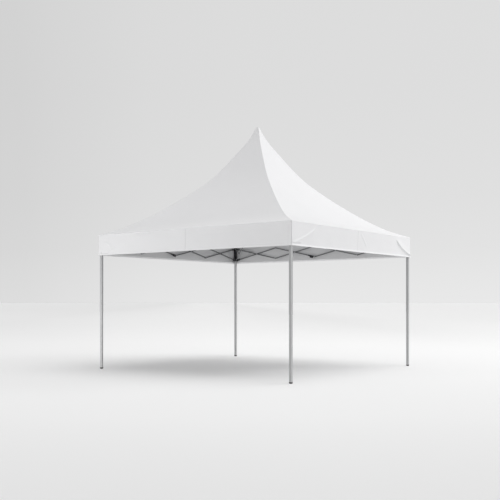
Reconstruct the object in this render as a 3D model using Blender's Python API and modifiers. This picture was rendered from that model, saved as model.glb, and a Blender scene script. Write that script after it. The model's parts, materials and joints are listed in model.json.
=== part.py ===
"""Folding party tent with a peaked roof.

Metres, +Z up, with the origin on the ground under the middle of the tent.
Four telescopic legs stand at the corners. Four scissor pairs on each side join their tops, three struts
at each corner join them to a hub in the middle, and a mast in the hub lifts the peak of the roof.
"""

from math import atan2, cos, exp, hypot, pi, radians, sin, sqrt

import bmesh
import bpy
from mathutils import Matrix, Vector

# Legs: two square tubes, one inside the other
FRAME_SIZE = 4.0
LEG_WIDTH = 0.044
LEG_WALL = 0.0015
LEG_BOTTOM_Z = 1.0
INNER_LEG_WIDTH = 0.040
INNER_LEG_TOP_Z = 1.25
FOOT_CAP_TOP_Z = 0.024
PAD_THICKNESS = 0.012
PAD_WIDTH = 0.038
LEG_AXIS = (FRAME_SIZE - LEG_WIDTH) / 2

# Scissor lattice: the pins' heights, and how far the end pins stand from the leg's axis
UPPER_PIN_Z = 2.300
LOWER_PIN_Z = 2.083
SIDE_PIN_OFFSET = 0.085
CORNER_PIN_OFFSET = 0.068
PAIRS = 4
PAIR_SPAN = 2 * (LEG_AXIS - SIDE_PIN_OFFSET) / PAIRS
PAIR_RISE = UPPER_PIN_Z - LOWER_PIN_Z
TILT = atan2(PAIR_RISE, PAIR_SPAN)
ARM_LENGTH = hypot(PAIR_RISE, PAIR_SPAN)

# Arms and struts: rectangular tube in two layers beside each other
ARM_DEPTH = 0.022
ARM_THICKNESS = 0.014
ARM_WALL = 0.0012
ARM_END = 0.014
LAYER = 0.0085
PIN_RADIUS = 0.004
PIN_SIDES = 6
PIN_REACH = 0.017
HOLE_RADIUS = 0.0054

# Struts from each slider up to a knee, down to the hub, and the brace below the corner bracket
ROOF_STRUT_LENGTH = ARM_LENGTH * (2 * sqrt(2) + 1) / 2
HUB_STRUT_LENGTH = ARM_LENGTH * (2 * sqrt(2) - 1) / 2
BRACE_LENGTH = ARM_LENGTH / 2
HUB_PIN_RADIUS = sqrt(2) * SIDE_PIN_OFFSET - CORNER_PIN_OFFSET

# Brackets on the legs, sliders and the hub
COLLAR_WIDTH = 0.052
COLLAR_HEIGHT = 0.070
COLLAR_ROOF = 0.006
SLIDER_WIDTH = 0.064
SLIDER_BORE = 0.045
SLIDER_HEIGHT = 0.060
CHEEK_THICKNESS = 0.003
CHEEK_HEIGHT = 0.036
CHEEK_END = 0.014
CHEEK_ROOT = 0.024
SLOT_WIDTH = 0.015
HUB_RADIUS = 0.030
HUB_BORE = 0.0195
HUB_HEIGHT = 0.070

# Mast that lifts the peak
MAST_RADIUS = 0.019
MAST_WALL = 0.002
MAST_BOTTOM_Z = 2.190
MAST_TOP_Z = 4.240
HEAD_RADIUS = 0.030
HEAD_TOP_Z = 4.322
HEAD_STEM_RADIUS = 0.0163
HEAD_STEM_LENGTH = 0.040
DOME_HEIGHT = 0.027
DOME_STEPS = 5
ROUND_STEPS = 24
FIT_GAP = 0.0003

# Canopy: the hip line of the roof, as a share of the half width and a height
CANOPY_HALF = 2.0155
CANOPY_THICKNESS = 0.0011
EAVE_Z = 2.360
HEM_Z = 2.000
PEAK_Z = 4.335
HIP_LINE = (
    (0.0145, 4.310),
    (0.053, 4.120),
    (0.137, 3.840),
    (0.300, 3.370),
    (0.500, 2.985),
    (0.700, 2.670),
    (0.860, 2.473),
    (1.000, EAVE_Z),
)
ROOF_RINGS = (0.0145, 0.035, 0.065, 0.11, 0.18, 0.28, 0.40, 0.54, 0.69, 0.85, 1.0)
VALANCE_RINGS = (0.25, 0.5, 0.75, 1.0)
SIDE_STEPS = (0.0, 0.05, 0.13, 0.25, 0.38, 0.5, 0.62, 0.75, 0.87, 0.95)
FACE_BOW = 0.04

# Folds of the valance: side, share along it and down it where a fold starts and ends, width, height
VALANCE_FOLDS = (
    ("left", 0.50, 0.1, 0.50, 1.0, 0.16, -0.010),
    ("left", 0.78, 0.3, 0.70, 1.0, 0.30, 0.024),
    ("left", 0.14, 0.4, 0.16, 1.0, 0.12, 0.012),
    ("front", 0.12, 0.1, 0.02, 0.8, 0.10, 0.014),
    ("front", 0.50, 0.1, 0.52, 1.0, 0.14, -0.008),
    ("front", 0.92, 0.3, 0.86, 1.0, 0.10, 0.014),
    ("right", 0.50, 0.1, 0.50, 1.0, 0.16, -0.010),
    ("right", 0.24, 0.3, 0.30, 1.0, 0.20, 0.018),
    ("back", 0.50, 0.1, 0.50, 1.0, 0.16, -0.010),
    ("back", 0.72, 0.3, 0.66, 1.0, 0.20, 0.018),
)

SIDES = ("front", "right", "back", "left")
CORNERS = ("front_left", "front_right", "back_right", "back_left")

# Arms of one side, seen from outside: the name's end, the pair, whether it falls to the right,
# the places of its pins and holes from left to right, and the place that its origin takes
LEFT, MIDDLE, RIGHT = -0.5, 0.0, 0.5
SIDE_ARMS = (
    ("1_outer", 0, True, (MIDDLE, RIGHT), (LEFT,), LEFT),
    ("1_inner", 0, False, (), (LEFT, MIDDLE, RIGHT), MIDDLE),
    ("2_outer", 1, True, (LEFT, MIDDLE, RIGHT), (), LEFT),
    ("2_inner", 1, False, (), (LEFT, MIDDLE, RIGHT), MIDDLE),
    ("3_outer", 2, True, (LEFT, MIDDLE, RIGHT), (), MIDDLE),
    ("3_inner", 2, False, (), (LEFT, MIDDLE, RIGHT), RIGHT),
    ("4_outer", 3, True, (LEFT, MIDDLE), (RIGHT,), MIDDLE),
    ("4_inner", 3, False, (), (LEFT, MIDDLE, RIGHT), RIGHT),
)


def clear_scene():
    for obj in list(bpy.data.objects):
        bpy.data.objects.remove(obj, do_unlink=True)


def new_collection(name):
    collection = bpy.data.collections.new(name)
    bpy.context.scene.collection.children.link(collection)
    return collection


def new_material(name, colour, roughness, metallic):
    material = bpy.data.materials.new(name)
    material.use_nodes = True
    shader = material.node_tree.nodes["Principled BSDF"]
    shader.inputs["Base Color"].default_value = (*colour, 1.0)
    shader.inputs["Roughness"].default_value = roughness
    shader.inputs["Metallic"].default_value = metallic
    return material


def mesh_from(bm, name):
    mesh = bpy.data.meshes.new(name)
    bm.to_mesh(mesh)
    bm.free()
    return mesh


def add_object(name, mesh, collection, material=None):
    obj = bpy.data.objects.new(name, mesh)
    collection.objects.link(obj)
    if material and material.name not in mesh.materials:
        mesh.materials.append(material)
    return obj


def block(low, high):
    """A box between two corners."""
    low, high = Vector(low), Vector(high)
    bm = bmesh.new()
    bmesh.ops.create_cube(bm, size=1.0)
    bmesh.ops.scale(bm, vec=high - low, verts=bm.verts)
    bmesh.ops.translate(bm, vec=(low + high) / 2, verts=bm.verts)
    return mesh_from(bm, "block")


def prism(radius, sides, start, end):
    """A straight bar with regular sides between two points."""
    start, end = Vector(start), Vector(end)
    bm = bmesh.new()
    bmesh.ops.create_cone(
        bm,
        cap_ends=True,
        segments=sides,
        radius1=radius,
        radius2=radius,
        depth=(end - start).length,
    )
    turn = Vector((0, 0, 1)).rotation_difference(end - start).to_matrix().to_4x4()
    bmesh.ops.transform(
        bm, matrix=Matrix.Translation((start + end) / 2) @ turn, verts=bm.verts
    )
    return mesh_from(bm, "prism")


def turned(mesh, angle):
    mesh.transform(Matrix.Rotation(angle, 4, "Z"))
    return mesh


def finish(name, base, solids=(), cuts=(), more=(), smooth=False):
    """Joins the solids to the base object, takes the cuts out, then joins what lies in a cut."""
    helpers = new_collection(name + "_helpers")
    steps = [(mesh, "UNION") for mesh in solids]
    steps += [(mesh, "DIFFERENCE") for mesh in cuts]
    steps += [(mesh, "UNION") for mesh in more]
    for mesh, operation in steps:
        helper = add_object(name + "_helper", mesh, helpers)
        helper.hide_render = True
        helper.display_type = "WIRE"
        modifier = base.modifiers.new(operation.lower(), "BOOLEAN")
        modifier.operation = operation
        modifier.object = helper
    bpy.context.view_layer.update()
    graph = bpy.context.evaluated_depsgraph_get()
    mesh = bpy.data.meshes.new_from_object(base.evaluated_get(graph))
    mesh.name = name
    if smooth:
        mesh.shade_smooth()
        mesh.set_sharp_from_angle(angle=radians(35))
    for obj in (base, *helpers.objects):
        bpy.data.objects.remove(obj, do_unlink=True)
    bpy.data.collections.remove(helpers)
    return mesh


def base_object(mesh, name="base"):
    return add_object(name, mesh, bpy.context.scene.collection)


def open_tube(size, low, high, axis, wall):
    """A rectangular tube along X or Z with both ends open."""
    half = [0.5 * side for side in size]
    if axis == "X":
        mesh = block((low, -half[0], -half[1]), (high, half[0], half[1]))
        normal = Vector((1, 0, 0))
    else:
        mesh = block((-half[0], -half[1], low), (half[0], half[1], high))
        normal = Vector((0, 0, 1))
    bm = bmesh.new()
    bm.from_mesh(mesh)
    bm.normal_update()
    ends = [face for face in bm.faces if abs(face.normal.dot(normal)) > 0.9]
    bmesh.ops.delete(bm, geom=ends, context="FACES_ONLY")
    bm.to_mesh(mesh)
    bm.free()
    tube = base_object(mesh)
    shell = tube.modifiers.new("wall", "SOLIDIFY")
    shell.thickness = wall
    shell.offset = -1.0
    shell.use_even_offset = True
    return tube


def strut_mesh(name, length, places, pins, holes, origin, side):
    """A tube of the lattice, whose pins reach across both layers. side is the layer that it lies in."""
    start = (min(places) - origin) * length - ARM_END
    end = (max(places) - origin) * length + ARM_END
    tube = open_tube((ARM_THICKNESS, ARM_DEPTH), start, end, "X", ARM_WALL)

    def across(place, radius, inward, outward):
        x = (place - origin) * length
        return prism(radius, PIN_SIDES, (x, -side * inward, 0), (x, side * outward, 0))

    far = PIN_REACH + LAYER
    near = PIN_REACH - LAYER
    drilled = [across(place, HOLE_RADIUS, ARM_THICKNESS, ARM_THICKNESS) for place in holes]
    pinned = [across(place, PIN_RADIUS, far, near) for place in pins]
    return finish(name, tube, cuts=drilled, more=pinned)


def place(name, mesh, collection, point, tilt, turn, material):
    """Puts a mesh at a point of the plan turned by an angle about the tent's middle."""
    obj = add_object(name, mesh, collection, material)
    obj.location = Matrix.Rotation(turn, 3, "Z") @ Vector(point)
    obj.rotation_euler = (0.0, tilt, turn)
    return obj


def add_side_arms(collection, material):
    """Four scissor pairs on each side, falling arms outside and rising arms inside."""
    for suffix, pair, falling, pins, holes, origin in SIDE_ARMS:
        side = -1 if falling else 1
        mesh = strut_mesh(
            "scissor_" + suffix, ARM_LENGTH, (LEFT, RIGHT), pins, holes, origin, side
        )
        tilt = TILT if falling else -TILT
        x = -LEG_AXIS + SIDE_PIN_OFFSET + (pair + 0.5 + origin) * PAIR_SPAN
        z = (UPPER_PIN_Z + LOWER_PIN_Z) / 2 - sin(tilt) * origin * ARM_LENGTH
        for index, name in enumerate(SIDES):
            point = (x, -LEG_AXIS + side * LAYER, z)
            label = f"{name}_scissor_{suffix}"
            place(label, mesh, collection, point, tilt, index * pi / 2, material)


def add_corner_struts(collection, material):
    """At each corner a hub strut up to the knee, a roof strut down to the slider, and a brace."""
    reach = HUB_PIN_RADIUS + (ROOF_STRUT_LENGTH + HUB_STRUT_LENGTH) * cos(TILT)
    knee = HUB_PIN_RADIUS + HUB_STRUT_LENGTH * cos(TILT)
    knee_z = UPPER_PIN_Z + HUB_STRUT_LENGTH * sin(TILT)
    cross = BRACE_LENGTH / ROOF_STRUT_LENGTH
    hub_strut = strut_mesh(
        "hub_strut", HUB_STRUT_LENGTH, (0.0, 1.0), (), (0.0, 1.0), 0.0, 1
    )
    roof_strut = strut_mesh(
        "roof_strut", ROOF_STRUT_LENGTH, (0.0, 1.0), (0.0, 1.0 - cross), (1.0,), 0.0, -1
    )
    brace = strut_mesh("brace", BRACE_LENGTH, (0.0, 1.0), (), (0.0, 1.0), 0.0, 1)
    brace_x = reach - BRACE_LENGTH * cos(TILT)
    brace_z = LOWER_PIN_Z + BRACE_LENGTH * sin(TILT)
    for index, name in enumerate(CORNERS):
        turn = radians(225) + index * pi / 2
        layout = (
            ("hub_strut", hub_strut, (HUB_PIN_RADIUS, LAYER, UPPER_PIN_Z), -TILT),
            ("roof_strut", roof_strut, (knee, -LAYER, knee_z), TILT),
            ("brace", brace, (brace_x, LAYER, brace_z), -TILT),
        )
        for label, mesh, point, tilt in layout:
            place(f"{label}_{name}", mesh, collection, point, tilt, turn, material)


def clevis(pin_offset, z, slot_y, angle, root):
    """Two cheeks beside a slot, and the pin across them, along a direction away from the axis."""
    cheeks = []
    for way in (-1, 1):
        inner = slot_y + way * SLOT_WIDTH / 2
        outer = inner + way * CHEEK_THICKNESS
        low = (root, min(inner, outer), z - CHEEK_HEIGHT / 2)
        high = (pin_offset + CHEEK_END, max(inner, outer), z + CHEEK_HEIGHT / 2)
        cheeks.append(turned(block(low, high), angle))
    half = SLOT_WIDTH / 2 + CHEEK_THICKNESS / 2
    start = (pin_offset, slot_y - half, z)
    end = (pin_offset, slot_y + half, z)
    pin = turned(prism(PIN_RADIUS, PIN_SIDES, start, end), angle)
    return cheeks + [pin]


def corner_clevises(z, slot_y, root):
    """The three clevises of a corner: along each side and towards the hub."""
    layout = (
        (SIDE_PIN_OFFSET, 0.0),
        (CORNER_PIN_OFFSET, pi / 4),
        (SIDE_PIN_OFFSET, pi / 2),
    )
    parts = []
    for offset, angle in layout:
        parts += clevis(offset, z, slot_y, angle, root)
    return parts


def square(width, low, high):
    return block((-width / 2, -width / 2, low), (width / 2, width / 2, high))


def outer_leg_mesh():
    """A square tube closed by the bracket at its top, and open at its bottom."""
    top = UPPER_PIN_Z + COLLAR_HEIGHT / 2
    collar = square(COLLAR_WIDTH, UPPER_PIN_Z - COLLAR_HEIGHT / 2, top)
    bore = square(
        LEG_WIDTH - 2 * LEG_WALL, LEG_BOTTOM_Z - LEG_WALL, top - COLLAR_ROOF
    )
    leg = base_object(square(LEG_WIDTH, LEG_BOTTOM_Z, top - COLLAR_ROOF / 2))
    parts = [collar] + corner_clevises(UPPER_PIN_Z, -LAYER, CHEEK_ROOT)
    return finish("leg_outer", leg, parts, [bore])


def inner_leg_mesh():
    """A square tube that slides in the outer leg, on a foot cap with a pad."""
    tube = open_tube(
        (INNER_LEG_WIDTH, INNER_LEG_WIDTH),
        FOOT_CAP_TOP_Z - LEG_WALL,
        INNER_LEG_TOP_Z,
        "Z",
        LEG_WALL,
    )
    cap = square(LEG_WIDTH, PAD_THICKNESS, FOOT_CAP_TOP_Z)
    pad = square(PAD_WIDTH, 0.0, PAD_THICKNESS + LEG_WALL)
    return finish("leg_inner", tube, [cap, pad])


def slider_mesh():
    """A square ring round the leg that carries the lower pins of the lattice."""
    low = LOWER_PIN_Z - SLIDER_HEIGHT / 2
    high = LOWER_PIN_Z + SLIDER_HEIGHT / 2
    ring = base_object(square(SLIDER_WIDTH, low, high))
    bore = square(SLIDER_BORE, low - CHEEK_HEIGHT, high + CHEEK_HEIGHT)
    root = (SLIDER_WIDTH + SLIDER_BORE) / 4
    return finish("slider", ring, corner_clevises(LOWER_PIN_Z, LAYER, root), [bore])


def add_legs(collection, paint, plastic):
    """Each corner's outer leg, inner leg and slider, turned so that the clevises face inwards."""
    outer, inner, slider = outer_leg_mesh(), inner_leg_mesh(), slider_mesh()
    layout = (("leg_outer", outer, paint), ("leg_inner", inner, paint))
    layout += (("slider", slider, plastic),)
    for index, name in enumerate(CORNERS):
        for label, mesh, material in layout:
            point = (-LEG_AXIS, -LEG_AXIS, 0.0)
            place(
                f"{label}_{name}", mesh, collection, point, 0.0, index * pi / 2, material
            )


def add_hub(collection, plastic):
    """The hub under the mast, with a clevis towards each corner."""
    low = UPPER_PIN_Z - HUB_HEIGHT / 2
    high = UPPER_PIN_Z + HUB_HEIGHT / 2
    core = base_object(prism(HUB_RADIUS, ROUND_STEPS, (0, 0, low), (0, 0, high)))
    bore = prism(
        HUB_BORE, ROUND_STEPS, (0, 0, low - HUB_HEIGHT), (0, 0, high + HUB_HEIGHT)
    )
    parts = []
    root = (HUB_RADIUS + HUB_BORE) / 2
    for index in range(4):
        angle = pi / 4 + index * pi / 2
        parts += clevis(HUB_PIN_RADIUS, UPPER_PIN_Z, LAYER, angle, root)
    mesh = finish("hub", core, parts, [bore], smooth=True)
    add_object("hub", mesh, collection, plastic)


def add_turned(name, profile, ring, collection, material):
    """A profile of radius and height, down its outer side, turned about the mast's axis."""
    bm = bmesh.new()
    points = [bm.verts.new((radius, 0.0, z)) for radius, z in profile]
    for first, second in zip(points, points[1:]):
        bm.edges.new((first, second))
    if ring:
        bm.edges.new((points[-1], points[0]))
    obj = add_object(name, mesh_from(bm, name), collection, material)
    screw = obj.modifiers.new("turn", "SCREW")
    screw.axis = "Z"
    screw.steps = ROUND_STEPS
    screw.render_steps = ROUND_STEPS
    screw.use_merge_vertices = True
    screw.merge_threshold = 0.00001
    screw.use_smooth_shade = True
    return obj


def add_mast(collection, steel, plastic):
    """A round tube with a domed head on its top."""
    inner = MAST_RADIUS - MAST_WALL
    tube = (
        (inner, MAST_TOP_Z),
        (MAST_RADIUS, MAST_TOP_Z),
        (MAST_RADIUS, MAST_BOTTOM_Z),
        (inner, MAST_BOTTOM_Z),
    )
    add_turned("mast", tube, True, collection, steel)
    seat = MAST_TOP_Z + FIT_GAP
    head = []
    for index in range(DOME_STEPS + 1):
        angle = (1 - index / DOME_STEPS) * pi / 2
        radius = HEAD_RADIUS * cos(angle) if index else 0.0
        head.append((radius, HEAD_TOP_Z - DOME_HEIGHT * (1 - sin(angle))))
    head += [
        (HEAD_RADIUS, seat),
        (HEAD_STEM_RADIUS, seat),
        (HEAD_STEM_RADIUS, seat - HEAD_STEM_LENGTH),
        (0.0, seat - HEAD_STEM_LENGTH),
    ]
    add_turned("mast_head", head, False, collection, plastic)


def hip_height(share):
    """The height of the hip line, on a smooth curve through its driving points."""
    points = HIP_LINE
    slopes = [
        (points[i + 1][1] - points[i][1]) / (points[i + 1][0] - points[i][0])
        for i in range(len(points) - 1)
    ]
    tangents = [slopes[0]]
    for before, after in zip(slopes, slopes[1:]):
        tangents.append(2 * before * after / (before + after))
    tangents.append(slopes[-1])
    index = 0
    while index < len(slopes) - 1 and share > points[index + 1][0]:
        index += 1
    (x0, z0), (x1, z1) = points[index], points[index + 1]
    width = x1 - x0
    u = (share - x0) / width
    start = (2 * u**3 - 3 * u**2 + 1) * z0 + (u**3 - 2 * u**2 + u) * width * tangents[index]
    end = (3 * u**2 - 2 * u**3) * z1 + (u**3 - u**2) * width * tangents[index + 1]
    return start + end


def fold_offset(side, along, down):
    """How far the valance stands out at a share along a side and a share down it."""
    total = 0.0
    for name, along_0, down_0, along_1, down_1, width, height in VALANCE_FOLDS:
        if name != side:
            continue
        grown = min(1.0, max(0.0, (down - down_0) / max(0.01, down_1 - down_0)))
        centre = along_0 + (along_1 - along_0) * grown
        total += height * grown * exp(-(((along - centre) / width) ** 2))
    return total * sin(pi * along) ** 0.5 if 0 < along < 1 else 0.0


def ring_points(share, height, down=None):
    """The points of one ring of the canopy, from the front left corner round all four sides."""
    points = []
    half = share * CANOPY_HALF
    for index, side in enumerate(SIDES):
        turn = Matrix.Rotation(index * pi / 2, 3, "Z")
        for along in SIDE_STEPS:
            bow = FACE_BOW * 4 * along * (1 - along) * sin(pi * share)
            out = half * (1 - bow)
            if down is not None:
                out += fold_offset(side, along, down)
            corner = half if along == 0 else out
            points.append(turn @ Vector(((2 * along - 1) * half, -corner, height)))
    return points


def add_canopy(collection, fabric):
    """One sewn sheet: a steep hollow roof on a square eave, and a valance with loose folds."""
    bm = bmesh.new()
    columns = len(SIDES) * len(SIDE_STEPS)
    bmesh.ops.create_circle(
        bm, cap_ends=True, cap_tris=True, segments=columns, radius=1.0
    )
    centre = min(bm.verts, key=lambda vert: vert.co.length)
    centre.co = (0.0, 0.0, PEAK_Z)
    ring = sorted(
        (vert for vert in bm.verts if vert is not centre),
        key=lambda vert: atan2(vert.co.y, vert.co.x),
    )
    rings = [ring_points(share, hip_height(share)) for share in ROOF_RINGS]
    drop = EAVE_Z - HEM_Z
    rings += [ring_points(1.0, EAVE_Z - drop * down, down) for down in VALANCE_RINGS]
    for index, points in enumerate(rings):
        if index:
            edges = [bm.edges.get((a, b)) for a, b in zip(ring, ring[1:] + ring[:1])]
            made = bmesh.ops.extrude_edge_only(bm, edges=edges)["geom"]
            fresh = {vert for vert in made if isinstance(vert, bmesh.types.BMVert)}
            ring = [
                next(edge.other_vert(vert) for edge in vert.link_edges
                     if edge.other_vert(vert) in fresh)
                for vert in ring
            ]
        for vert, point in zip(ring, points):
            vert.co = point
    bmesh.ops.recalc_face_normals(bm, faces=bm.faces)
    obj = add_object("canopy", mesh_from(bm, "canopy"), collection, fabric)
    cloth = obj.modifiers.new("cloth", "SOLIDIFY")
    cloth.thickness = CANOPY_THICKNESS
    cloth.offset = -1.0
    return obj


def main():
    clear_scene()
    tent = new_collection("party_tent")
    paint = new_material("frame_paint", (0.62, 0.63, 0.64), 0.45, 0.3)
    plastic = new_material("dark_plastic", (0.03, 0.03, 0.035), 0.6, 0.0)
    steel = new_material("mast_steel", (0.55, 0.56, 0.57), 0.35, 0.9)
    fabric = new_material("white_fabric", (0.86, 0.86, 0.87), 0.85, 0.0)
    add_side_arms(tent, paint)
    add_corner_struts(tent, paint)
    add_legs(tent, paint, plastic)
    add_hub(tent, plastic)
    add_mast(tent, steel, plastic)
    add_canopy(tent, fabric)


main()
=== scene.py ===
"""Cloth, tubes, fittings, floor and light of a folding party tent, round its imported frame."""

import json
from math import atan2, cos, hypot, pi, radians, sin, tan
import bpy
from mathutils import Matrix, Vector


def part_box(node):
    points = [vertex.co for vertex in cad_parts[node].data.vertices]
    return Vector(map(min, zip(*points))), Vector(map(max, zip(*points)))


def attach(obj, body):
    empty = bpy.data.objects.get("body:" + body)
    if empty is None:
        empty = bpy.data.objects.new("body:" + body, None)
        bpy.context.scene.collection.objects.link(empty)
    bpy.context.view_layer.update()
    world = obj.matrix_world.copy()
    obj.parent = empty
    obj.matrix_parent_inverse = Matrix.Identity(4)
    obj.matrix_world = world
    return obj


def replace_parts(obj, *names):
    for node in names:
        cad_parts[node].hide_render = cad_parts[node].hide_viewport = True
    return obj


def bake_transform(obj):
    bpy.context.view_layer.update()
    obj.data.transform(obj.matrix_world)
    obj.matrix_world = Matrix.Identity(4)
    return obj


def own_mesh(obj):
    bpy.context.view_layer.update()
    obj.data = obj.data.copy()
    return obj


bl_info = {
    "name": "Folding party tent",
    "version": (1, 0, 0),
    "blender": (4, 5, 0),
    "location": "View3D > Sidebar > Party tent",
    "description": "Dresses the frame of a folding party tent with its cloth, tubes and fittings",
    "category": "Object",
}

import bmesh
import bpy
import numpy as np
from bpy.props import FloatProperty, FloatVectorProperty, PointerProperty
from mathutils import Matrix, Vector

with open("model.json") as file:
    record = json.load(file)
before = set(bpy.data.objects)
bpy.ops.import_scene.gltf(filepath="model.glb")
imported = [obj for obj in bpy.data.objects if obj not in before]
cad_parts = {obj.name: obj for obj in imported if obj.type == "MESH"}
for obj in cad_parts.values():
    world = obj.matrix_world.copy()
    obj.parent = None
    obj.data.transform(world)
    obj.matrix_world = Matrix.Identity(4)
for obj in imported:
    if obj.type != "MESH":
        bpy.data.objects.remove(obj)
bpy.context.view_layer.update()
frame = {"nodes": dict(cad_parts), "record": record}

SIDES = ("front", "right", "back", "left")
CORNERS = ("front_left", "front_right", "back_right", "back_left")

# Places of the frame's pins, from its joints
PINS = {
    joint["name"]: Vector(joint["pos_m"])
    for joint in frame["record"]["behaviour"]["joints"]
    if joint.get("pos_m")
}
LEG_AXIS = sum(corner.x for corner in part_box("leg_inner_front_right")) / 2
UPPER_PIN = PINS["leg_turn_front_left"].z
LOWER_PIN = PINS["slider_turn_front_left"].z
END_PIN = PINS["front_scissor_1_outer_turn"].x
PAIRS = 4
PAIR_SPAN = -2 * END_PIN / PAIRS
CORNER_PIN = hypot(*PINS["leg_turn_front_left"].xy)
KNEE = Vector((hypot(*PINS["knee_front_left"].xy), PINS["knee_front_left"].z))
HUB_PIN = hypot(*PINS["frame_fold"].xy)
CROSS = Vector((hypot(*PINS["brace_turn_front_left"].xy), PINS["brace_turn_front_left"].z))

# Heights of the frame's tubes, from its boxes
LEG_LOW, LEG_TOP = (corner.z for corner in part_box("leg_outer_front_left"))
INNER_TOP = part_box("leg_inner_front_left")[1].z
SLIDER_LOW, SLIDER_TOP = (corner.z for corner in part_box("slider_front_left"))
HUB_LOW, HUB_TOP = (corner.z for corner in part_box("hub"))
MAST_LOW, MAST_TOP = (corner.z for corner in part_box("mast"))
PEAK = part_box("canopy")[1].z
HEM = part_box("canopy")[0].z

# Half width of the cloth and height at the eave
HALF = 2.0155
EAVE = 2.360
DROP = EAVE - HEM

# The hip of the roof: share of the half width, and height
HIP_LINE = (
    (0.0145, 4.310),
    (0.053, 4.120),
    (0.137, 3.840),
    (0.300, 3.370),
    (0.500, 2.985),
    (0.700, 2.670),
    (0.860, 2.473),
    (1.000, EAVE),
)

# Broad folds of the valance: side, share along it and down it at the start, then at the end,
# width as a share of the side, height in metres
BROAD_FOLDS = (
    ("left", 0.50, 0.1, 0.50, 1.0, 0.16, -0.010),
    ("left", 0.78, 0.3, 0.70, 1.0, 0.30, 0.024),
    ("left", 0.14, 0.4, 0.16, 1.0, 0.12, 0.012),
    ("front", 0.12, 0.1, 0.02, 0.8, 0.10, 0.014),
    ("front", 0.50, 0.1, 0.52, 1.0, 0.14, -0.008),
    ("front", 0.92, 0.3, 0.86, 1.0, 0.10, 0.014),
    ("right", 0.50, 0.1, 0.50, 1.0, 0.16, -0.010),
    ("right", 0.24, 0.3, 0.30, 1.0, 0.20, 0.018),
    ("back", 0.50, 0.1, 0.50, 1.0, 0.16, -0.010),
    ("back", 0.72, 0.3, 0.66, 1.0, 0.20, 0.018),
)

# Creases and ridges of the valance: side, three points that bend the line (share along, share down),
# height and half width in metres
CREASES = (
    ("front", (0.000, 0.92), (0.030, 0.92), (0.064, 0.88), -0.015, 0.011),
    ("left", (0.018, 0.88), (0.045, 0.91), (0.078, 0.88), -0.017, 0.013),
    ("front", (0.520, 0.08), (0.545, 0.35), (0.580, 0.78), 0.006, 0.018),
    ("left", (0.991, 0.00), (0.990, 0.50), (0.989, 1.00), -0.007, 0.011),
    ("left", (0.030, 0.30), (0.070, 0.45), (0.080, 0.75), 0.006, 0.022),
    ("left", (0.205, 0.06), (0.280, 0.02), (0.355, 0.05), -0.005, 0.016),
    ("right", (0.000, 0.85), (0.070, 0.60), (0.130, 0.15), 0.010, 0.022),
    ("right", (0.700, 0.15), (0.715, 0.50), (0.690, 0.85), 0.006, 0.020),
    ("back", (0.005, 0.88), (0.060, 0.70), (0.150, 0.20), 0.009, 0.022),
    ("back", (0.330, 0.10), (0.345, 0.45), (0.320, 0.80), 0.006, 0.020),
)

# Tucks of the valance, steep on one side of the line and long on the other: side, three points,
# height, steep width and long width in metres
TUCKS = (
    ("front", (0.848, 0.16), (0.880, 0.66), (1.000, 0.93), 0.027, 0.017, 0.070),
    ("right", (0.880, 0.20), (0.915, 0.62), (1.000, 0.90), 0.014, 0.016, 0.060),
    ("back", (0.860, 0.15), (0.900, 0.60), (1.000, 0.92), 0.015, 0.016, 0.060),
    ("front", (0.178, 0.10), (0.092, 0.62), (0.000, 0.86), 0.013, 0.026, 0.060),
    ("left", (0.110, 0.66), (0.060, 0.88), (0.000, 0.93), 0.009, 0.018, 0.030),
)

GORES_PER_SIDE = 8

# Where the cap over the mast ends, as a share of the half width, and rows of the cloth in each stretch
CAP_SHARE = 0.053
TIP_ROWS, CAP_ROWS, ROOF_ROWS, EAVE_ROWS, VALANCE_ROWS = 5, 10, 46, 6, 50
RIM = TIP_ROWS + CAP_ROWS

# Columns of the cap all round
CAP_COLUMNS = 128

# How far the middle of a roof panel lies inside the straight line between its hips
FACE_BOW = 0.04

# How far the hem flares out
FLARE = 0.010

# Raised seams of the cloth: where the raised strip starts to fall and where it ends, from its middle,
# and how far it stands proud
HIP_SEAM = (0.008, 0.011, 0.0012)
MIDDLE_SEAM = (0.007, 0.010, 0.0010)

# How far the doubled hem stands proud, how many times as thick as the cloth it is, and the ridge under
# the eave: depth below it, half height and height
HEM_PROUD, HEM_LAYERS = 0.0010, 2.4
EAVE_RIDGE = (0.004, 0.008, 0.0022)

# Sewing: half width of the painted shade along a seam, distance of its stitches from its middle, distance
# of the hem's stitches from its upper edge, and half width of a thread
SEAM_SHADE, SEAM_ROW, HEM_ROW, THREAD = 0.009, 0.006, 0.003, 0.0006

# Small waves of the valance: height, number round the tent, phase, and lean on the way down
WAVES = ((0.0022, 13, 0.4, 1.2), (0.0016, 29, 1.9, -2.0), (0.0010, 47, 3.1, 3.0))

# Distances from a corner over which the waves and the creases grow to their full height
WAVE_GROWTH, CREASE_GROWTH = 0.25, 0.07

# How far the floor's ramps reach from the lens and across, and how strongly the floor glows for the camera
# alone, a painted light
FLOOR_REACH, FLOOR_WIDTH, FLOOR_GLOW = 100.0, 24.0, 0.07

# Levels of the floor by depth, on the left and on the right, and across: painted light, brightest behind
# the tent and dimmer towards the lens
FLOOR_LEFT = (
    (0.045, 0.79), (0.08, 0.89), (0.12, 0.955), (0.16, 0.925), (0.27, 0.89), (0.50, 0.92), (1.0, 0.90)
)
FLOOR_RIGHT = (
    (0.045, 0.82), (0.08, 0.855), (0.13, 0.84), (0.15, 0.86),
    (0.22, 0.995), (0.27, 1.03), (0.50, 0.96), (1.0, 0.95),
)
FLOOR_ACROSS = (
    (0.0, 0.93), (0.28, 0.97), (0.40, 0.985), (0.50, 0.99), (0.62, 0.97), (0.78, 0.935), (1.0, 0.975)
)

# Share of the backdrop's ramp that one unit of direction across covers
BACKDROP_SPAN = 1.25
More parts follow.
